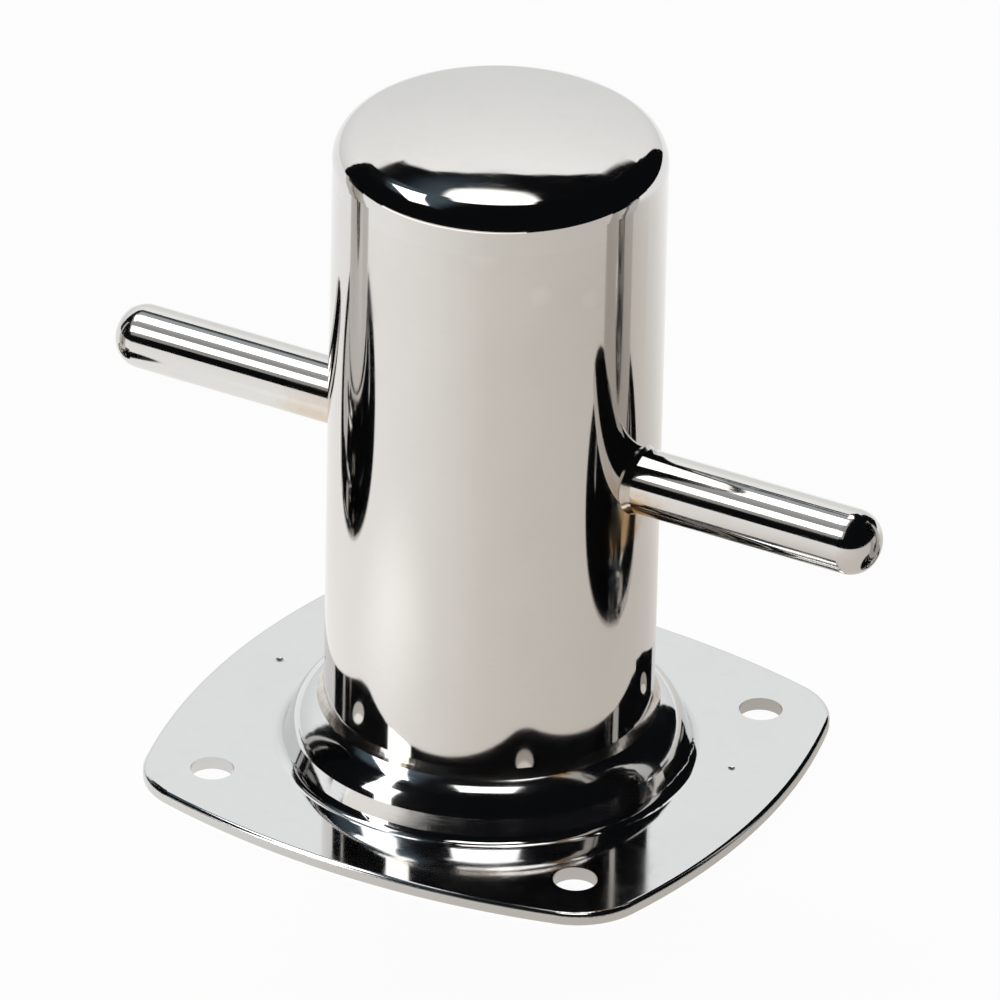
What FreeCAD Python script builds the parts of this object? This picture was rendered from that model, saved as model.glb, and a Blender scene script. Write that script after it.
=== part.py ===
"""Mooring bollard of polished stainless steel, in millimetres.

A round post stands in the raised collar of a pressed deck plate, is closed by a dished cap and
carries a round cross bar that goes right through it.  Every joint is welded, so nothing moves.
The origin is on the underside of the plate, on the post's axis, +Z up, +X along the cross bar.
"""
import FreeCAD, Part
import math
import os

Vector = FreeCAD.Vector
AXIS_X = Vector(1, 0, 0)
AXIS_Z = Vector(0, 0, 1)
ORIGIN = Vector(0, 0, 0)

# Deck plate, pressed from one sheet
plate_length = 111.0          # along X, over the middles of its bowed sides
plate_width = 104.6           # along Y
plate_thickness = 2.5
side_bow = 7.6                # how far the middle of a side stands out past the line of its corners
corner_radius = 14.5
top_edge_radius = 0.9
bottom_edge_radius = 0.5
hole_diameter = 8.0
hole_inset_x = 18.0           # from the middle of a side to the line of the holes
hole_inset_y = 17.3

# Raised collar in the middle of the plate, which the post stands in
collar_height = 13.1          # from the underside of the plate to the top of the shoulder's curve
collar_reach = 9.1            # from the post out to where the collar runs into the flat
shoulder_radius = 9.5         # outside of the upper bend
root_radius = 2.2             # inside of the lower bend
collar_wall_angle = 70.0      # slope of the wall between the two bends, in degrees
post_fit = 0.05               # between the post and the plate's bore

# Post
post_diameter = 60.0
post_wall = 2.0
total_height = 130.0

# Dished cap
cap_rise = 8.4                # crown above the straight skirt
knuckle_radius = 5.4
cap_skirt = 5.0

# Weld between the post and the cap, ground flush outside
groove_root = 1.2             # gap at the bore
groove_mouth = 3.2            # gap at the outside
root_bead = 0.5               # how far the bead stands into the bore

# Cross bar
bar_diameter = 12.0
bar_length = 155.4
bar_height = 65.2             # axis above the underside of the plate
bar_nose_radius = 5.2
bar_fit = 0.05                # between the bar and its holes in the post

# Fillet welds
collar_leg = 1.2              # on top of the collar, polished
under_leg = 2.0               # under the lip
bar_leg_out = 0.9             # along the bar
bar_leg_up = 0.8              # out over the post
fillet_hollow = 0.06          # how hollow a fillet's face is, as a share of its leg

post_radius = post_diameter / 2
bore_radius = post_radius - post_wall
bar_radius = bar_diameter / 2
seam_height = total_height - cap_rise - cap_skirt
collar_bore = post_radius + post_fit
foot_radius = post_radius + collar_reach


def point(radius, height):
    """A point of a section that is turned about the post's axis."""
    return Vector(radius, 0, height)


def line(start, end):
    return Part.LineSegment(start, end).toShape()


def arc(start, middle, end):
    return Part.Arc(start, middle, end).toShape()


def turned(edges, centre=ORIGIN, axis=AXIS_Z):
    """The solid that a closed section makes in one full turn."""
    face = Part.Face(Part.Wire(Part.__sortEdges__(edges)))
    return face.revolve(centre, axis, 360)


def on_bend(centre, radius, angle):
    """A point of a bend; the angle is measured from straight up, towards the outside."""
    turn = math.radians(angle)
    return centre + Vector(radius * math.sin(turn), 0, radius * math.cos(turn))


def collar_bends():
    """Centres of the two bends of the collar, upper and lower."""
    slope = math.radians(collar_wall_angle)
    bend_sum = shoulder_radius + root_radius
    rise = collar_height - plate_thickness
    wall = (rise - bend_sum * (1 - math.cos(slope))) / math.sin(slope)
    run = bend_sum * math.sin(slope) + wall * math.cos(slope)
    upper = point(foot_radius - run, collar_height - shoulder_radius)
    lower = point(foot_radius, plate_thickness + root_radius)
    return upper, lower


def shoulder_height(radius, depth=0):
    """Height of the collar's upper bend at a radius, on its top or a depth below it."""
    centre = collar_bends()[0]
    bend = shoulder_radius - depth
    return centre.z + math.sqrt(bend ** 2 - max(0, radius - centre.x) ** 2)


def plate_outline():
    """Four bowed sides that meet in corners, which are rounded later."""
    half_x = plate_length / 2
    half_y = plate_width / 2
    corner_x = half_x - side_bow
    corner_y = half_y - side_bow
    corners = [Vector(corner_x * sx, corner_y * sy, 0)
               for sx, sy in ((1, -1), (1, 1), (-1, 1), (-1, -1))]
    middles = [Vector(half_x, 0, 0), Vector(0, half_y, 0), Vector(-half_x, 0, 0), Vector(0, -half_y, 0)]
    sides = []
    for index, middle in enumerate(middles):
        sides.append(arc(corners[index], middle, corners[(index + 1) % 4]))
    return Part.Face(Part.Wire(sides))


def upright_edges(solid):
    """Straight edges of a plate that run from its underside to its top."""
    return [edge for edge in solid.Edges
            if abs(edge.Vertexes[0].Z - edge.Vertexes[-1].Z) > plate_thickness * 0.9]


def level_edges(solid, height):
    return [edge for edge in solid.Edges
            if abs(edge.BoundBox.ZMin - height) < 1e-6 and abs(edge.BoundBox.ZMax - height) < 1e-6]


def lip_curve(depth, bend):
    """The upper bend's edges from the bore to the wall, on the sheet's top or underside.

    Where the bend's centre lies outside the bore, a level stretch leads up to the bend.
    """
    centre = collar_bends()[0]
    start = point(collar_bore, shoulder_height(collar_bore, depth))
    end = on_bend(centre, bend, collar_wall_angle)
    lip_angle = max(0, math.degrees(math.asin((collar_bore - centre.x) / bend)))
    curve_start = on_bend(centre, bend, lip_angle)
    curve = arc(curve_start, on_bend(centre, bend, (lip_angle + collar_wall_angle) / 2), end)
    if curve_start.x - start.x > 1e-6:
        return [line(start, curve_start), curve]
    return [curve]


def collar():
    """The sheet's section from the bore, over the shoulder and down to the flat, turned."""
    upper, lower = collar_bends()
    slope = collar_wall_angle
    under_bend = shoulder_radius - plate_thickness
    under_root = root_radius + plate_thickness
    top_lip = lip_curve(0, shoulder_radius)
    under_lip = lip_curve(plate_thickness, under_bend)
    top_low = on_bend(lower, root_radius, slope - 180)
    under_low = on_bend(lower, under_root, slope - 180)
    flat_end = foot_radius + plate_thickness
    return turned(top_lip + under_lip + [
        line(on_bend(upper, shoulder_radius, slope), top_low),
        arc(top_low, on_bend(lower, root_radius, slope / 2 - 180), point(foot_radius, plate_thickness)),
        line(point(foot_radius, plate_thickness), point(flat_end, plate_thickness)),
        line(point(flat_end, plate_thickness), point(flat_end, 0)),
        line(point(flat_end, 0), point(foot_radius, 0)),
        arc(point(foot_radius, 0), on_bend(lower, under_root, slope / 2 - 180), under_low),
        line(under_low, on_bend(upper, under_bend, slope)),
        line(point(collar_bore, shoulder_height(collar_bore)),
             point(collar_bore, shoulder_height(collar_bore, plate_thickness))),
    ])


def base_plate():
    """Flat sheet with bowed sides and four holes, with the collar pressed up out of it."""
    sheet = plate_outline().extrude(Vector(0, 0, plate_thickness))
    sheet = sheet.makeFillet(corner_radius, upright_edges(sheet))
    sheet = sheet.makeFillet(top_edge_radius, level_edges(sheet, plate_thickness))
    sheet = sheet.makeFillet(bottom_edge_radius, level_edges(sheet, 0))
    opening = Part.makeCylinder(foot_radius + plate_thickness, plate_thickness)
    sheet = sheet.cut(opening).fuse(collar()).removeSplitter()
    for x, y in hole_centres():
        hole = Part.makeCylinder(hole_diameter / 2, plate_thickness, Vector(x, y, 0))
        sheet = sheet.cut(hole)
    return sheet


def hole_centres():
    x = plate_length / 2 - hole_inset_x
    y = plate_width / 2 - hole_inset_y
    return [(x * sx, y * sy) for sx in (-1, 1) for sy in (-1, 1)]


def bar_shape(radius, length):
    """A round bar through the post, on the cross bar's axis."""
    return Part.makeCylinder(radius, length, Vector(-length / 2, 0, bar_height), AXIS_X)


def post_tube():
    """Tube with a bevelled top for the cap's weld and a hole on each side for the bar."""
    low = seam_height - groove_mouth / 2
    high = seam_height - groove_root / 2
    tube = turned([
        line(point(bore_radius, 0), point(post_radius, 0)),
        line(point(post_radius, 0), point(post_radius, low)),
        line(point(post_radius, low), point(bore_radius, high)),
        line(point(bore_radius, high), point(bore_radius, 0)),
    ])
    return tube.cut(bar_shape(bar_radius + bar_fit, post_diameter * 2))


def dish(radius, rise, knuckle):
    """Skirt end, knuckle end, knuckle middle and crown middle of a dished end, and its crown.

    The crown is a sphere on the axis that runs into the knuckle without a corner.
    """
    spring = total_height - cap_rise
    knuckle_centre = radius - knuckle
    crown = (knuckle_centre ** 2 + rise ** 2 - knuckle ** 2) / (2 * (rise - knuckle))
    crown_angle = math.asin(knuckle_centre / (crown - knuckle))
    middle_angle = (crown_angle + math.pi / 2) / 2
    skirt_end = point(radius, spring)
    knuckle_middle = point(knuckle_centre + knuckle * math.sin(middle_angle),
                           spring + knuckle * math.cos(middle_angle))
    knuckle_end = point(knuckle_centre + knuckle * math.sin(crown_angle),
                        spring + knuckle * math.cos(crown_angle))
    crown_middle = point(crown * math.sin(crown_angle / 2),
                         spring + rise - crown * (1 - math.cos(crown_angle / 2)))
    top = point(0, spring + rise)
    return skirt_end, knuckle_middle, knuckle_end, crown_middle, top


def dome_cap():
    """Dished end of the same wall as the post, with a bevelled skirt."""
    outer = dish(post_radius, cap_rise, knuckle_radius)
    inner = dish(bore_radius, cap_rise - post_wall, knuckle_radius - post_wall)
    bevel_out = point(post_radius, seam_height + groove_mouth / 2)
    bevel_in = point(bore_radius, seam_height + groove_root / 2)
    return turned([
        line(bevel_out, outer[0]),
        arc(outer[0], outer[1], outer[2]),
        arc(outer[2], outer[3], outer[4]),
        line(outer[4], inner[4]),
        arc(inner[4], inner[3], inner[2]),
        arc(inner[2], inner[1], inner[0]),
        line(inner[0], bevel_in),
        line(bevel_in, bevel_out),
    ])


def cap_weld():
    """Weld metal that fills the groove, with a low bead in the bore."""
    mouth_low = point(post_radius, seam_height - groove_mouth / 2)
    mouth_high = point(post_radius, seam_height + groove_mouth / 2)
    root_low = point(bore_radius, seam_height - groove_root / 2)
    root_high = point(bore_radius, seam_height + groove_root / 2)
    return turned([
        line(root_low, mouth_low),
        line(mouth_low, mouth_high),
        line(mouth_high, root_high),
        arc(root_high, point(bore_radius - root_bead, seam_height), root_low),
    ])


def cross_bar():
    """Solid round bar with rounded ends."""
    bar = bar_shape(bar_radius, bar_length)
    rims = [edge for edge in bar.Edges if edge.BoundBox.XLength < 1e-6]
    return bar.makeFillet(bar_nose_radius, rims)


def fillet_ring(level, rim_level, leg, direction, plate):
    """A hollow-faced fillet weld between the post and the collar, trimmed by the sheet.

    It starts at the edge of the bore, and its other leg ends on the bend.
    """
    inside = level - direction * plate_thickness / 2
    rim = post_radius + leg
    up = point(post_radius, level + leg * direction)
    out = point(rim, rim_level)
    middle = point((up.x + out.x) / 2 - fillet_hollow * leg,
                   (up.z + out.z) / 2 - fillet_hollow * leg * direction)
    ring = turned([
        line(point(post_radius, level), point(collar_bore, level)),
        line(point(collar_bore, level), point(collar_bore, inside)),
        line(point(collar_bore, inside), point(rim, inside)),
        line(point(rim, inside), out),
        arc(out, middle, up),
        line(up, point(post_radius, level)),
    ])
    return ring.cut(plate)


def collar_weld(plate):
    """Polished fillet on top of the collar."""
    level = shoulder_height(collar_bore)
    return fillet_ring(level, shoulder_height(post_radius + collar_leg), collar_leg, 1, plate)


def under_weld(plate):
    """Fillet between the post and the underside of the collar."""
    level = shoulder_height(collar_bore, plate_thickness)
    rim_level = shoulder_height(post_radius + under_leg, plate_thickness)
    return fillet_ring(level, rim_level, under_leg, -1, plate)


def bar_weld():
    """Fillet weld round the bar, shaped to the round wall of the post, on the +X side."""
    rim = bar_radius + bar_leg_up
    wall_at_rim = math.sqrt(post_radius ** 2 - rim ** 2)
    out = Vector(post_radius + bar_leg_out, 0, bar_height + bar_radius)
    up = Vector(wall_at_rim, 0, bar_height + rim)
    middle = Vector((out.x + up.x) / 2 - fillet_hollow * bar_leg_out, 0,
                    (out.z + up.z) / 2 - fillet_hollow * bar_leg_up)
    foot = Vector(bore_radius, 0, bar_height + bar_radius)
    back = Vector(bore_radius, 0, bar_height + rim)
    ring = turned([line(foot, out), arc(out, middle, up), line(up, back), line(back, foot)],
                  Vector(0, 0, bar_height), AXIS_X)
    return ring.cut(Part.makeCylinder(post_radius, total_height))


def export(name, shape):
    """Write one sub-part, and say how large it is."""
    if not shape.isValid():
        raise RuntimeError(name + " is not a valid solid")
    shape.exportStep("parts/" + name + ".step")
    box = shape.BoundBox
    print("%-16s %d solid, %8.0f mm3, z %6.1f to %6.1f, x %6.1f to %6.1f"
          % (name, len(shape.Solids), shape.Volume, box.ZMin, box.ZMax, box.XMin, box.XMax))


def main():
    os.makedirs("parts", exist_ok=True)
    plate = base_plate()
    export("base_plate", plate)
    export("post_tube", post_tube())
    export("dome_cap", dome_cap())
    export("cross_bar", cross_bar())
    export("collar_weld", collar_weld(plate))
    export("under_weld", under_weld(plate))
    export("cap_weld", cap_weld())
    bead = bar_weld()
    export("bar_weld_right", bead)
    export("bar_weld_left", bead.rotated(ORIGIN, AXIS_Z, 180))


main()
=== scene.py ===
import bpy
import math
import numpy as np
from mathutils import Matrix, Vector

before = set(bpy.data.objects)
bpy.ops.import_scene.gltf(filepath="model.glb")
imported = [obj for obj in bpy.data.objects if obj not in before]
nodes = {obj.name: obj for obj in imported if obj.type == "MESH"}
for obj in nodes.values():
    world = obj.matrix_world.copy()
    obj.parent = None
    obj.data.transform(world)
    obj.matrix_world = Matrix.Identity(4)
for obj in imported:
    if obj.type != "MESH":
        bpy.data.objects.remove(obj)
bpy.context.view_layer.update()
print("frame: %d steel pieces" % len(nodes))


# Small helpers for node trees

def addNode(tree, kind, **settings):
    node = tree.nodes.new(kind)
    for name, value in settings.items():
        setattr(node, name, value)
    return node


def feed(tree, socket, value):
    # a socket is linked, anything else is the socket's own value
    if isinstance(value, bpy.types.NodeSocket):
        tree.links.new(value, socket)
    else:
        socket.default_value = value


def opaque(colour):
    return (*colour, 1.0)


def maths(tree, operation, *values):
    node = addNode(tree, "ShaderNodeMath", operation=operation)
    for socket, value in zip(node.inputs, values):
        feed(tree, socket, value)
    return node.outputs[0]


def vectorMaths(tree, operation, *values):
    node = addNode(tree, "ShaderNodeVectorMath", operation=operation)
    for socket, value in zip(node.inputs, values):
        feed(tree, socket, value)
    return node.outputs["Value" if operation in ("LENGTH", "DISTANCE") else "Vector"]


def splitAxes(tree, vector):
    node = addNode(tree, "ShaderNodeSeparateXYZ")
    feed(tree, node.inputs[0], vector)
    return node.outputs


def mapRange(tree, value, low, high, toLow=0.0, toHigh=1.0, kind="SMOOTHSTEP"):
    node = addNode(tree, "ShaderNodeMapRange", interpolation_type=kind, clamp=True)
    for name, part in (("Value", value), ("From Min", low), ("From Max", high),
                       ("To Min", toLow), ("To Max", toHigh)):
        feed(tree, node.inputs[name], part)
    return node.outputs["Result"]


def mixColour(tree, factor, first, second, blend="MIX"):
    # of the Mix node's sockets, these three and output 2 are the ones for colours
    node = addNode(tree, "ShaderNodeMix", data_type="RGBA", blend_type=blend)
    for number, value in ((0, factor), (6, first), (7, second)):
        feed(tree, node.inputs[number], value)
    return node.outputs[2]


def mixShader(tree, factor, first, second):
    node = addNode(tree, "ShaderNodeMixShader")
    for socket, value in zip(node.inputs, (factor, first, second)):
        feed(tree, socket, value)
    return node.outputs[0]


def noise(tree, place, width, detail=2.0, stretch=None):
    # width is that of a speck in metres
    if stretch:
        place = vectorMaths(tree, "MULTIPLY", place, stretch)
    node = addNode(tree, "ShaderNodeTexNoise")
    feed(tree, node.inputs["Vector"], place)
    feed(tree, node.inputs["Scale"], maths(tree, "DIVIDE", 1.0, width))
    feed(tree, node.inputs["Detail"], detail)
    return node.outputs[0]


def unevenness(tree, place, width, detail):
    # noise with its middle at 0 in place of one half
    return maths(tree, "SUBTRACT", noise(tree, place, width, detail), 0.5)


def newGroup(name, inputs, outputs):
    # inputs and outputs are lists of (name, socket kind, default)
    group = bpy.data.node_groups.new(name, "ShaderNodeTree")
    for direction, sockets in (("INPUT", inputs), ("OUTPUT", outputs)):
        for label, kind, value in sockets:
            socket = group.interface.new_socket(label, in_out=direction, socket_type="NodeSocket" + kind)
            if value is not None:
                socket.default_value = value
    return group, addNode(group, "NodeGroupInput").outputs, addNode(group, "NodeGroupOutput").inputs


def useGroup(tree, group, **values):
    # every name given here is a socket's name
    node = addNode(tree, "ShaderNodeGroup", node_tree=group)
    for name, value in values.items():
        feed(tree, node.inputs[name], value)
    return node.outputs


# Small helpers for objects

def addObject(name, data):
    thing = bpy.data.objects.new(name, data)
    bpy.context.scene.collection.objects.link(thing)
    return thing


def setAxes(thing, right, up, back, place):
    # the columns of the object's matrix are its own three axes and its place
    thing.matrix_world = Matrix([(right[i], up[i], back[i], place[i]) for i in range(3)] + [(0, 0, 0, 1)])


def toWorld(across, beyond, height, turn):
    # the camera's own compass: across is to the picture's right, beyond is away from the camera
    return Vector((across * math.cos(turn) - beyond * math.sin(turn),
                   across * math.sin(turn) + beyond * math.cos(turn), height))


def inCompass(tree, coordinate, turn):
    # one of the texture coordinates, read in the camera's compass
    compass = addNode(tree, "ShaderNodeVectorRotate", rotation_type="Z_AXIS")
    feed(tree, compass.inputs["Vector"], addNode(tree, "ShaderNodeTexCoord").outputs[coordinate])
    feed(tree, compass.inputs["Angle"], -turn)
    return compass.outputs[0]


# Camera: it looks at a point on the post's axis, from the photograph's side

photoCamera = {
    "azimuth": 28.564,            # degrees, 0 looks along +Y
    "elevation": 29.515,
    "roll": 1.306,
    "distance": 2.409967,         # metres from the point that it looks at
    "pixelsPerMetre": 5570.0,     # at that point, in a picture 1000 pixels wide
    "aim": (0.0, 0.0, 0.060),
    "aimPixel": (493.934, 462.609),
    "pictureWidth": 1000.0,
    "sensor": 36.0,               # millimetres
    "clip": (0.05, 50.0),
}


def makeCamera(values):
    azimuth, elevation, roll = (math.radians(values[k]) for k in ("azimuth", "elevation", "roll"))
    back = Vector((math.sin(azimuth) * math.cos(elevation), -math.cos(azimuth) * math.cos(elevation),
                   math.sin(elevation)))
    level = Vector((math.cos(azimuth), math.sin(azimuth), 0))
    upright = back.cross(level)
    right = level * math.cos(roll) + upright * math.sin(roll)
    up = upright * math.cos(roll) - level * math.sin(roll)
    centre = values["pictureWidth"] / 2
    across, down = ((pixel - centre) / values["pixelsPerMetre"] for pixel in values["aimPixel"])
    place = Vector(values["aim"]) + back * values["distance"] - right * across + up * down
    data = bpy.data.cameras.new("photoCamera")
    data.sensor_width = values["sensor"]
    data.lens = values["pixelsPerMetre"] / values["pictureWidth"] * values["distance"] * values["sensor"]
    data.clip_start, data.clip_end = values["clip"]
    camera = addObject("photoCamera", data)
    setAxes(camera, right, up, back, place)
    bpy.context.scene.camera = camera
    return azimuth


facing = makeCamera(photoCamera)
bpy.context.scene.view_settings.view_transform = "Standard"
print("camera: %.1f degrees round, %.1f up" % (photoCamera["azimuth"], photoCamera["elevation"]))


# Studio: a haze, a paper sweep and an overhead light as areas of the sky, in the camera's compass

# corners lie on a level sheet at height 1, for the sweep on an upright sheet one unit beyond
studioLight = {
    "room": (0.0045, 0.0050, 0.0058),
    "haze": {"corners": ((-0.85, 0.35), (-0.30, 0.90), (-0.06, 0.84), (-0.20, 0.20), (-0.60, -0.30)),
             "edge": 0.22, "colour": (0.075, 0.105, 0.130)},
    "overhead": {"corners": ((-0.145, 0.79), (0.10, 0.75), (0.13, 0.40), (-0.18, 0.40)),
                 "edge": 0.03, "colour": (2.3, 2.3, 2.25)},
    "sweep": {"corners": ((-1.50, -0.30), (-1.35, 0.50), (-1.06, 0.77), (-0.80, 0.87), (-0.30, 0.86),
                          (0.42, 0.68), (0.62, 0.25), (0.66, -0.30)),
              "edge": 0.015, "rise": (0.0, 0.95),        # heights of the two colours
              "colour": (0.86, 0.88, 0.885), "topColour": (1.20, 1.21, 1.21)},
    "sweepTop": {"corners": ((-0.265, 0.50), (-0.25, 0.90), (-0.20, 1.02), (-0.10, 1.08), (0.08, 1.09),
                             (0.20, 1.03), (0.28, 0.93), (0.30, 0.50)), "edge": 0.015},
    "least": 0.001,              # of what is divided by, near the horizon
}


def convexMask(tree, x, y, corners, edge):
    # product of one soft half plane for each side of the polygon
    pairs = list(zip(corners, corners[1:] + corners[:1]))
    turnWay = math.copysign(1.0, sum(a[0] * b[1] - b[0] * a[1] for a, b in pairs))
    mask = 1.0
    for a, b in pairs:
        length = math.dist(a, b) * turnWay
        alongX = (a[1] - b[1]) / length
        alongY = (b[0] - a[0]) / length
        inward = maths(tree, "MULTIPLY_ADD", x, alongX,
                       maths(tree, "MULTIPLY_ADD", y, alongY, -a[0] * alongX - a[1] * alongY))
        mask = maths(tree, "MULTIPLY", mapRange(tree, inward, -edge / 2, edge / 2), mask)
    return mask


def makeStudio(values, turn):
    world = bpy.data.worlds.new("studio")
    bpy.context.scene.world = world
    world.use_nodes = True
    tree = world.node_tree
    tree.nodes.clear()
    across, beyond, height = splitAxes(tree, inCompass(tree, "Generated", turn))
    above = maths(tree, "MAXIMUM", height, values["least"])
    far = maths(tree, "MAXIMUM", beyond, values["least"])
    level = (maths(tree, "DIVIDE", across, above), maths(tree, "DIVIDE", beyond, above))
    upright = (maths(tree, "DIVIDE", across, far), maths(tree, "DIVIDE", height, far))
    skyward = maths(tree, "GREATER_THAN", height, 0.0)
    behind = maths(tree, "GREATER_THAN", beyond, 0.0)

    def areaMask(name, sheet, half):
        soft = convexMask(tree, *sheet, values[name]["corners"], values[name]["edge"])
        return maths(tree, "MULTIPLY", soft, half)

    # the paper narrows in a step near its top, and is brighter there
    sweep = values["sweep"]
    paper = maths(tree, "MAXIMUM", areaMask("sweep", upright, behind), areaMask("sweepTop", upright, behind))
    paperColour = mixColour(tree, mapRange(tree, upright[1], *sweep["rise"], kind="LINEAR"),
                            opaque(sweep["colour"]), opaque(sweep["topColour"]))
    colour = opaque(values["room"])
    for mask, shade in ((areaMask("haze", level, skyward), opaque(values["haze"]["colour"])),
                        (paper, paperColour),
                        (areaMask("overhead", level, skyward), opaque(values["overhead"]["colour"]))):
        colour = mixColour(tree, mask, colour, shade)
    lit = addNode(tree, "ShaderNodeBackground")
    feed(tree, lit.inputs["Color"], colour)
    plain = addNode(tree, "ShaderNodeBackground")
    feed(tree, plain.inputs["Color"], (1, 1, 1, 1))
    seen = addNode(tree, "ShaderNodeLightPath").outputs["Is Camera Ray"]
    out = addNode(tree, "ShaderNodeOutputWorld")
    feed(tree, out.inputs["Surface"], mixShader(tree, seen, lit.outputs[0], plain.outputs[0]))


makeStudio(studioLight, facing)
print("studio: a haze, a paper sweep and an overhead light")


# Soft boxes: each lights only the pieces that it names, and the others keep the sky's picture

footPieces = ("base_plate", "collar_weld", "post_tube", "under_weld", "cap_weld")
barPieces = ("cross_bar", "bar_weld_left", "bar_weld_right")
boxGlow = 2.2
powerForGlow = 4                      # watts for each square metre of lamp
straightDown = (0.0, 0.0, -1.0)       # directions are in the camera's compass
straightUp = (0.0, 0.0, 1.0)
straightBeyond = (0.0, 1.0, 0.0)
alongBar = (0.878, -0.478, 0.0)       # the cross bar's own direction
white = (1.0, 1.0, 1.0)
warmWhite = (1.0, 1.0, 0.99)
coolWhite = (0.98, 1.0, 1.0)

# place, shines and tall are in the camera's compass, and a glow of 1 is mirrored as plain white
softBoxes = {
    "leftStrip": {"place": (-0.693, 0.221, 1.30), "shines": straightDown, "tall": (0.295, 0.64, 0.0),
                  "size": (0.325, 0.916), "glow": boxGlow, "colour": (0.97, 0.99, 1.0),
                  "lights": footPieces + ("dome_cap",)},
    "topBox": {"place": (-0.0125, 0.34, 1.25), "shines": straightDown, "tall": straightBeyond,
               "size": (0.36, 0.45), "glow": boxGlow, "colour": warmWhite, "lights": footPieces},
    "frontCard": {"place": (-1.06, -1.696, 0.12), "shines": (0.53, 0.848, 0.0), "tall": straightUp,
                  "size": (4.7, 0.24), "glow": 0.85, "colour": (1.0, 0.965, 0.92),
                  "lights": footPieces + ("dome_cap",)},
    "frontBox": {"place": (0.0, -0.39, 1.25), "shines": straightDown, "tall": straightBeyond,
                 "size": (0.525, 0.325), "glow": boxGlow, "colour": warmWhite, "lights": footPieces},
    "tallStrip": {"place": (-1.903, -0.629, 1.99), "shines": (0.927, 0.375, 0.0),
                  "tall": (-0.106, 0.262, 0.959), "size": (0.38, 3.4), "glow": boxGlow,
                  "colour": coolWhite, "lights": footPieces},
    "lowStrip": {"place": (-1.798, -0.877, 1.0), "shines": (0.899, 0.438, 0.0), "tall": straightUp,
                 "size": (0.66, 1.0), "glow": 2.0, "colour": coolWhite, "lights": footPieces},
    "barUpper": {"place": (-0.56, 0.278, 1.43), "shines": (0.373, -0.185, -0.909), "tall": alongBar,
                 "size": (0.58, 0.9), "glow": boxGlow, "colour": white, "lights": barPieces},
    "barLower": {"place": (-1.008, -0.548, 1.03), "shines": (0.672, 0.365, -0.643), "tall": alongBar,
                 "size": (0.46, 0.9), "glow": boxGlow, "colour": white, "lights": barPieces},
    "barHaze": {"place": (-0.771, -0.111, 1.346), "shines": (0.514, 0.074, -0.854), "tall": alongBar,
                "size": (2.6, 1.2), "glow": 0.30, "colour": (1.0, 0.99, 0.97), "lights": barPieces},
    "barTwice": {"place": (0.46, -0.10, 1.30), "shines": straightDown, "tall": (0.40, 0.65, 0.0),
                 "size": (0.46, 1.1), "glow": boxGlow, "colour": white, "lights": ("post_tube",)},
}


def makeSoftBox(name, values, turn):
    data = bpy.data.lights.new(name, "AREA")
    data.shape = "RECTANGLE"
    data.size, data.size_y = values["size"]
    data.color = values["colour"]
    data.energy = values["glow"] * powerForGlow * data.size * data.size_y
    outward = -toWorld(*values["shines"], turn).normalized()
    tall = toWorld(*values["tall"], turn)
    tall = (tall - outward * tall.dot(outward)).normalized()
    lamp = addObject(name, data)
    setAxes(lamp, tall.cross(outward), tall, outward, toWorld(*values["place"], turn))
    lit = bpy.data.collections.new(name + "Lights")
    for piece in values["lights"]:
        lit.objects.link(nodes[piece])
    lamp.light_linking.receiver_collection = lit


for name, values in softBoxes.items():
    makeSoftBox(name, values, facing)
print("lamps: %d soft boxes" % len(softBoxes))


# Floor: a white sheet that keeps a faint shadow, lighter in the steel on the left and behind

floorSheet = {
    "reach": 6.0,
    "drop": 0.0002,                       # below the plate's underside
    "glow": (0.955, 0.955, 0.955),        # what the camera sees before the shadow's share is added
    "shadowShare": 0.14,
    "plain": (0.8, 0.8, 0.8),             # for light that is neither seen nor mirrored
    "left": (1.10, 1.11, 1.10),           # in the steel, beside and in front of the object
    "middle": (0.845, 0.815, 0.765),
    "right": (0.70, 0.67, 0.625),
    "sides": (-1.0, -0.1, 1.0),           # where those three are, as the sine of the way round the post
    "back": (1.04, 1.05, 1.06),
    "backFade": (0.02, 0.25),
    "glare": {"place": (-0.088, -0.047, 0.0), "reach": 0.055, "more": 0.22},
}


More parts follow.
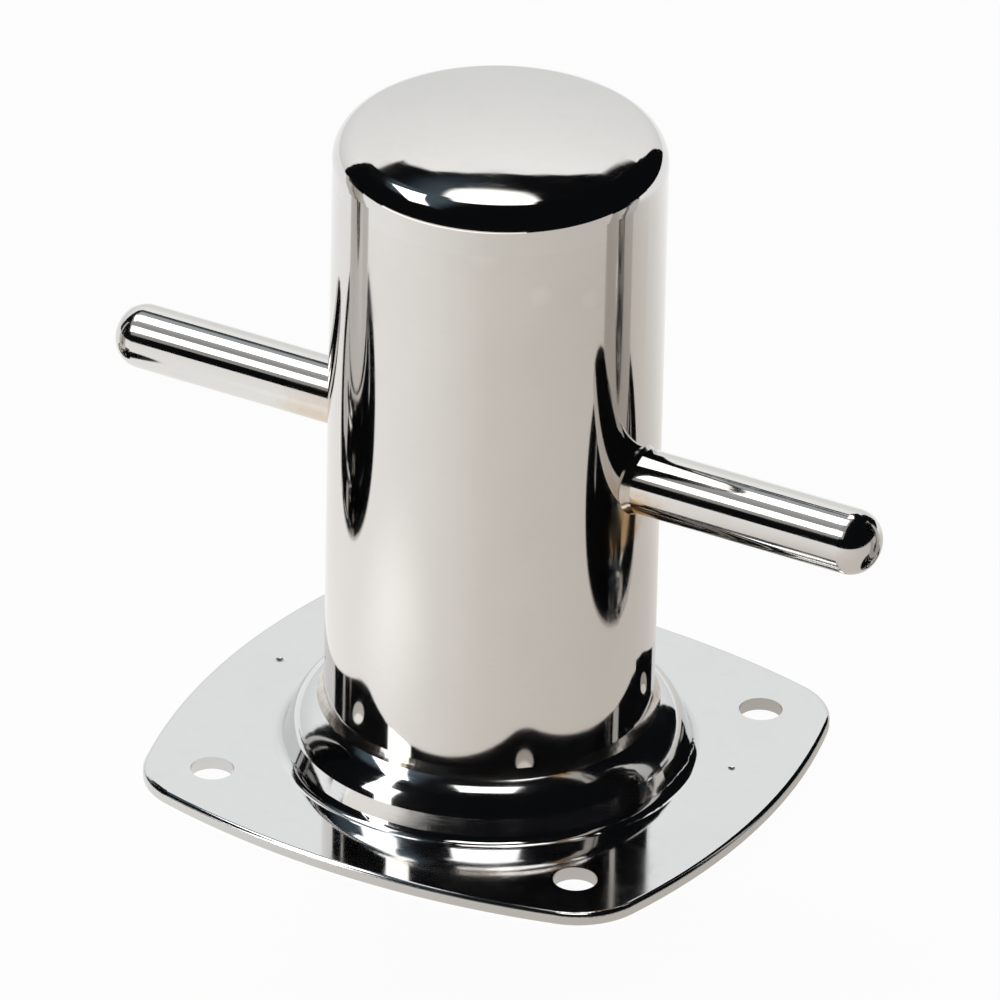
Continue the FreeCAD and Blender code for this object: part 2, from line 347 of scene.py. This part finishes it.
def makeFloorPaper(values, turn):
    material = bpy.data.materials.new("floorPaper")
    material.use_nodes = True
    tree = material.node_tree
    tree.nodes.clear()
    place = inCompass(tree, "Object", turn)
    across, beyond = splitAxes(tree, place)[:2]
    side = maths(tree, "DIVIDE", across, vectorMaths(tree, "LENGTH", place))
    left, middle, right = values["sides"]
    mirrored = mixColour(tree, mapRange(tree, side, left, middle, kind="LINEAR"),
                         opaque(values["left"]), opaque(values["middle"]))
    mirrored = mixColour(tree, mapRange(tree, side, middle, right, kind="LINEAR"),
                         mirrored, opaque(values["right"]))
    mirrored = mixColour(tree, mapRange(tree, beyond, *values["backFade"]), mirrored, opaque(values["back"]))
    # a brighter pool of light at the left front of the plate
    glare = values["glare"]
    away = vectorMaths(tree, "DISTANCE", place, glare["place"])
    mirrored = mixColour(tree, 1.0, mirrored, mapRange(tree, away, 0.0, glare["reach"], glare["more"], 0.0),
                         "ADD")
    light = addNode(tree, "ShaderNodeLightPath")
    glow = addNode(tree, "ShaderNodeEmission")
    feed(tree, glow.inputs["Color"],
         mixColour(tree, light.outputs["Is Glossy Ray"], opaque(values["glow"]), mirrored))
    paper = addNode(tree, "ShaderNodeBsdfDiffuse")
    feed(tree, paper.inputs["Color"], opaque([values["shadowShare"]] * 3))
    both = addNode(tree, "ShaderNodeAddShader")
    feed(tree, both.inputs[0], glow.outputs[0])
    feed(tree, both.inputs[1], paper.outputs[0])
    plain = addNode(tree, "ShaderNodeBsdfDiffuse")
    feed(tree, plain.inputs["Color"], opaque(values["plain"]))
    shown = maths(tree, "MAXIMUM", light.outputs["Is Camera Ray"], light.outputs["Is Glossy Ray"])
    out = addNode(tree, "ShaderNodeOutputMaterial")
    feed(tree, out.inputs["Surface"], mixShader(tree, shown, plain.outputs[0], both.outputs[0]))
    return material


def makeFloor(values, turn):
    r = values["reach"]
    mesh = bpy.data.meshes.new("floorSheet")
    mesh.from_pydata([(-r, -r, 0), (r, -r, 0), (r, r, 0), (-r, r, 0)], [], [(0, 1, 2, 3)])
    mesh.materials.append(makeFloorPaper(values, turn))
    floor = addObject("floorSheet", mesh)
    floor.location.z = -values["drop"]


makeFloor(floorSheet, facing)
print("floor: a sheet that keeps the shadow")


# Neighbours: two plain posts outside the picture, seen only as dark leaves in the polished tube

neighbourPosts = {
    "places": ((-0.164, 0.038), (0.145, -0.018)),      # across and beyond, in metres
    # radius and height in millimetres, from the cap's top down to the edge of the foot
    "profile": ((0.0, 130.0), (12.0, 129.2), (22.0, 126.6), (27.5, 123.0), (30.0, 118.0), (30.0, 14.0),
                (31.5, 12.0), (36.0, 10.8), (39.0, 8.0), (41.5, 4.0), (45.0, 2.6), (57.0, 2.5), (57.0, 0.0)),
    "rings": 96,
    "steps": 96,
    "colour": (0.60, 0.58, 0.56),
    "roughness": 0.05,
}
millimetresPerMetre = 1000


def turnedMesh(name, profile, rings, steps):
    # x = r(v) cos(u), y = r(v) sin(u), z = h(v): the profile goes once round the upright axis
    radius, height = np.array(profile).T / millimetresPerMetre
    run = np.concatenate(([0.0], np.cumsum(np.hypot(np.diff(radius), np.diff(height)))))
    v = np.linspace(0, run[-1], rings)
    u = np.linspace(0, 2 * np.pi, steps, endpoint=False)
    r, z = np.interp(v, run, radius)[:, None], np.interp(v, run, height)[:, None]
    points = np.stack((r * np.cos(u), r * np.sin(u), z + 0 * u), axis=-1).reshape(-1, 3)
    row, column = np.meshgrid(np.arange(rings - 1), np.arange(steps), indexing="ij")
    following = (column + 1) % steps
    faces = np.stack((row * steps + column, (row + 1) * steps + column, (row + 1) * steps + following,
                      row * steps + following), axis=-1).reshape(-1, 4)
    mesh = bpy.data.meshes.new(name)
    mesh.from_pydata(points.tolist(), [], faces.tolist())
    mesh.polygons.foreach_set("use_smooth", np.ones(len(faces), dtype=bool))
    mesh.update()
    return mesh


def makeNeighbours(values, turn):
    material = bpy.data.materials.new("neighbourSteel")
    material.use_nodes = True
    shader = material.node_tree.nodes["Principled BSDF"]
    shader.inputs["Metallic"].default_value = 1.0
    shader.inputs["Base Color"].default_value = opaque(values["colour"])
    shader.inputs["Roughness"].default_value = values["roughness"]
    mesh = turnedMesh("neighbourPost", values["profile"], values["rings"], values["steps"])
    mesh.materials.append(material)
    for number, (across, beyond) in enumerate(values["places"]):
        post = addObject("neighbourPost%d" % number, mesh)
        post.location = toWorld(across, beyond, 0.0, turn)
        post.visible_camera = False
        post.visible_shadow = False
        post.visible_diffuse = False


makeNeighbours(neighbourPosts, facing)
print("neighbours: %d posts" % len(neighbourPosts["places"]))


# Reused effects for polished steel

# a speck is its width in metres, its detail and how far it is squeezed along each axis
polishPattern = {
    "waveDetail": 1.0,
    "grainDetail": 3.0,
    "patchSpeck": (0.018, 4.0),
    "patchRange": (0.42, 0.68),
    "hairSpeck": (0.0035, 2.0, (1.0, 1.0, 14.0)),
    "hairRange": (0.52, 0.66),
    "hairShare": 0.5,
}
spotPattern = {
    "edgeSpeck": (0.0016, 3.0),
    "core": 0.25,                       # share of Reach at full strength
}
cutPattern = {
    "uprightRange": (0.35, 0.75),       # of how far a face looks up or down, with 1 for a level one
    "lineSpeck": (0.0009, 2.0, (1.0, 1.0, 0.08)),
    "lineHeight": 0.00001,
}
beadPattern = {
    "wanderSpeck": (0.002, 2.0),
    "wander": 4.0,                      # radians by which a ripple strays
    "shadeSpeck": (0.004, 3.0),
    "shadeRange": (0.35, 0.7),
}


def polishMarksGroup(pattern):
    # slow waves of hand polishing and a fine grain as a height in metres, and where it is rubbed dull
    group, given, result = newGroup(
        "polishMarks",
        [("Place", "Vector", None), ("Wave", "Float", 0.00004), ("Wave Width", "Float", 0.04),
         ("Grain", "Float", 0.0000004), ("Grain Width", "Float", 0.0012)],
        [("Height", "Float", None), ("Rub", "Float", None)])
    waves = unevenness(group, given["Place"], given["Wave Width"], pattern["waveDetail"])
    grain = unevenness(group, given["Place"], given["Grain Width"], pattern["grainDetail"])
    height = maths(group, "ADD", maths(group, "MULTIPLY", waves, given["Wave"]),
                   maths(group, "MULTIPLY", grain, given["Grain"]))
    patches = mapRange(group, noise(group, given["Place"], *pattern["patchSpeck"]), *pattern["patchRange"])
    hairs = mapRange(group, noise(group, given["Place"], *pattern["hairSpeck"]), *pattern["hairRange"])
    feed(group, result["Height"], height)
    feed(group, result["Rub"], maths(group, "MULTIPLY_ADD", hairs, pattern["hairShare"], patches))
    return group


def spotGroup(pattern):
    # 1 near Centre, fading out by Reach, with a ragged edge
    group, given, result = newGroup(
        "spot",
        [("Place", "Vector", None), ("Centre", "Vector", None), ("Reach", "Float", 0.004),
         ("Ragged", "Float", 0.5)],
        [("Mask", "Float", None)])
    away = maths(group, "DIVIDE", vectorMaths(group, "DISTANCE", given["Place"], given["Centre"]),
                 given["Reach"])
    uneven = maths(group, "MULTIPLY", unevenness(group, given["Place"], *pattern["edgeSpeck"]),
                   given["Ragged"])
    feed(group, result["Mask"],
         mapRange(group, maths(group, "ADD", away, uneven), pattern["core"], 1.0, 1.0, 0.0))
    return group


def cutEdgeGroup(pattern):
    # 1 on upright faces further from the origin than Inner, where the sheet was cut
    group, given, result = newGroup(
        "cutEdge", [("Place", "Vector", None), ("Facing", "Vector", None), ("Inner", "Float", 0.045)],
        [("Mask", "Float", None), ("Height", "Float", None)])
    tilt = maths(group, "ABSOLUTE", splitAxes(group, given["Facing"])["Z"])
    upright = mapRange(group, tilt, *pattern["uprightRange"], 1.0, 0.0)
    outside = maths(group, "GREATER_THAN", vectorMaths(group, "LENGTH", given["Place"]), given["Inner"])
    mask = maths(group, "MULTIPLY", upright, outside)
    lines = noise(group, given["Place"], *pattern["lineSpeck"])
    height = maths(group, "MULTIPLY", lines, pattern["lineHeight"])
    feed(group, result["Mask"], mask)
    feed(group, result["Height"], maths(group, "MULTIPLY", height, mask))
    return group


def beadGroup(pattern):
    # ripples of a weld bead, Count of them round the upright axis, as a height in metres
    group, given, result = newGroup(
        "beadRipples", [("Place", "Vector", None), ("Count", "Float", 150.0), ("Depth", "Float", 0.00003)],
        [("Height", "Float", None), ("Shade", "Float", None)])
    axes = splitAxes(group, given["Place"])
    angle = maths(group, "ARCTAN2", axes["Y"], axes["X"])
    uneven = noise(group, given["Place"], *pattern["wanderSpeck"])
    astray = maths(group, "MULTIPLY", uneven, pattern["wander"])
    ripple = maths(group, "SINE", maths(group, "MULTIPLY_ADD", angle, given["Count"], astray))
    shade = mapRange(group, noise(group, given["Place"], *pattern["shadeSpeck"]), *pattern["shadeRange"])
    feed(group, result["Height"], maths(group, "MULTIPLY", ripple, given["Depth"]))
    feed(group, result["Shade"], shade)
    return group


polishMarks = polishMarksGroup(polishPattern)
spot = spotGroup(spotPattern)
cutEdge = cutEdgeGroup(cutPattern)
beadRipples = beadGroup(beadPattern)


# Steel finishes

# wave, grain and bead are heights in metres, and each spot is its place and reach in metres and its strength
steelLook = {
    "plateSteel": {"pieces": ("base_plate",), "colour": (0.655, 0.655, 0.655), "roughness": 0.05,
                   "rub": 0.05, "wave": 0.00008, "grain": 0.0000002,
                   "cut": (0.56, 0.55, 0.54), "cutRoughness": 0.26,
                   "pits": (((-0.0465, 0.0050, 0.0025), 0.0010, 1.0),
                            ((0.0431, 0.0135, 0.0025), 0.0008, 1.0))},
    "tubeSteel": {"pieces": ("post_tube", "cap_weld"), "colour": (0.655, 0.628, 0.605), "roughness": 0.045,
                  "rub": 0.035, "wave": 0.00004, "grain": 0.0000002,
                  "smudges": (((0.0122, -0.0274, 0.1186), 0.0040, 0.25),
                              ((0.0204, -0.0220, 0.1100), 0.0028, 0.4),
                              ((0.0264, -0.0143, 0.1075), 0.0026, 0.3)),
                  "heat": (((0.0292, -0.0060, 0.0580), 0.0080, 0.9),
                           ((-0.0292, -0.0060, 0.0580), 0.0080, 0.6))},
    "capSteel": {"pieces": ("dome_cap",), "colour": (0.66, 0.64, 0.62), "roughness": 0.03,
                 "rub": 0.04, "wave": 0.00003, "grain": 0.0000002},
    "barSteel": {"pieces": ("cross_bar",), "colour": (0.66, 0.64, 0.62), "roughness": 0.05,
                 "rub": 0.06, "wave": 0.00002, "grain": 0.0000002,
                 "heat": (((0.0325, -0.0020, 0.0590), 0.0105, 0.95),
                          ((-0.0340, -0.0035, 0.0595), 0.0110, 0.35))},
    "weldSteel": {"pieces": ("collar_weld", "under_weld", "bar_weld_left", "bar_weld_right"),
                  "colour": (0.60, 0.575, 0.545), "roughness": 0.12,
                  "rub": 0.08, "wave": 0.00002, "grain": 0.0000004,
                  "bead": 0.0000015, "beadShade": (0.50, 0.44, 0.37),
                  "heat": (((0.0305, -0.0040, 0.0590), 0.0070, 0.9),
                           ((-0.0305, -0.0040, 0.0590), 0.0070, 0.6))},
}
spotKinds = {
    "heat": {"colour": (0.55, 0.33, 0.13), "dulling": 0.06},
    "smudges": {"colour": (0.74, 0.73, 0.72), "dulling": 0.16},
    "pits": {"colour": (0.06, 0.055, 0.05), "dulling": 0.40, "depth": 0.00015},
}
rubTint = {"colour": (0.45, 0.44, 0.43), "share": 0.06}


def makeSteel(name, values):
    material = bpy.data.materials.new(name)
    material.use_nodes = True
    tree = material.node_tree
    shader = tree.nodes["Principled BSDF"]
    shader.inputs["Metallic"].default_value = 1.0
    surface = addNode(tree, "ShaderNodeTexCoord")
    place = surface.outputs["Object"]
    marks = useGroup(tree, polishMarks, Place=place, Wave=values["wave"], Grain=values["grain"])
    height = marks["Height"]
    roughness = maths(tree, "MULTIPLY_ADD", marks["Rub"], values["rub"], values["roughness"])
    colour = mixColour(tree, maths(tree, "MULTIPLY", marks["Rub"], rubTint["share"]),
                       opaque(values["colour"]), opaque(rubTint["colour"]))
    for kind, effect in spotKinds.items():
        for centre, reach, strength in values.get(kind, ()):
            mask = useGroup(tree, spot, Place=place, Centre=centre, Reach=reach)["Mask"]
            mask = maths(tree, "MULTIPLY", mask, strength)
            colour = mixColour(tree, mask, colour, opaque(effect["colour"]))
            roughness = maths(tree, "MULTIPLY_ADD", mask, effect["dulling"], roughness)
            if "depth" in effect:
                height = maths(tree, "MULTIPLY_ADD", mask, -effect["depth"], height)
    if "cut" in values:
        edge = useGroup(tree, cutEdge, Place=place, Facing=surface.outputs["Normal"])
        colour = mixColour(tree, edge["Mask"], colour, opaque(values["cut"]))
        roughness = mapRange(tree, edge["Mask"], 0.0, 1.0, roughness, values["cutRoughness"], "LINEAR")
        height = maths(tree, "ADD", height, edge["Height"])
    if "bead" in values:
        bead = useGroup(tree, beadRipples, Place=place, Depth=values["bead"])
        colour = mixColour(tree, bead["Shade"], colour, opaque(values["beadShade"]))
        height = maths(tree, "ADD", height, bead["Height"])
    bump = addNode(tree, "ShaderNodeBump")
    feed(tree, bump.inputs["Distance"], 1.0)        # the height is in metres already
    feed(tree, bump.inputs["Height"], height)
    feed(tree, shader.inputs["Base Color"], colour)
    feed(tree, shader.inputs["Roughness"], roughness)
    feed(tree, shader.inputs["Normal"], bump.outputs["Normal"])
    for piece in values["pieces"]:
        nodes[piece].data.materials.clear()
        nodes[piece].data.materials.append(material)


for name, values in steelLook.items():
    makeSteel(name, values)
print("steel: %d finishes" % len(steelLook))
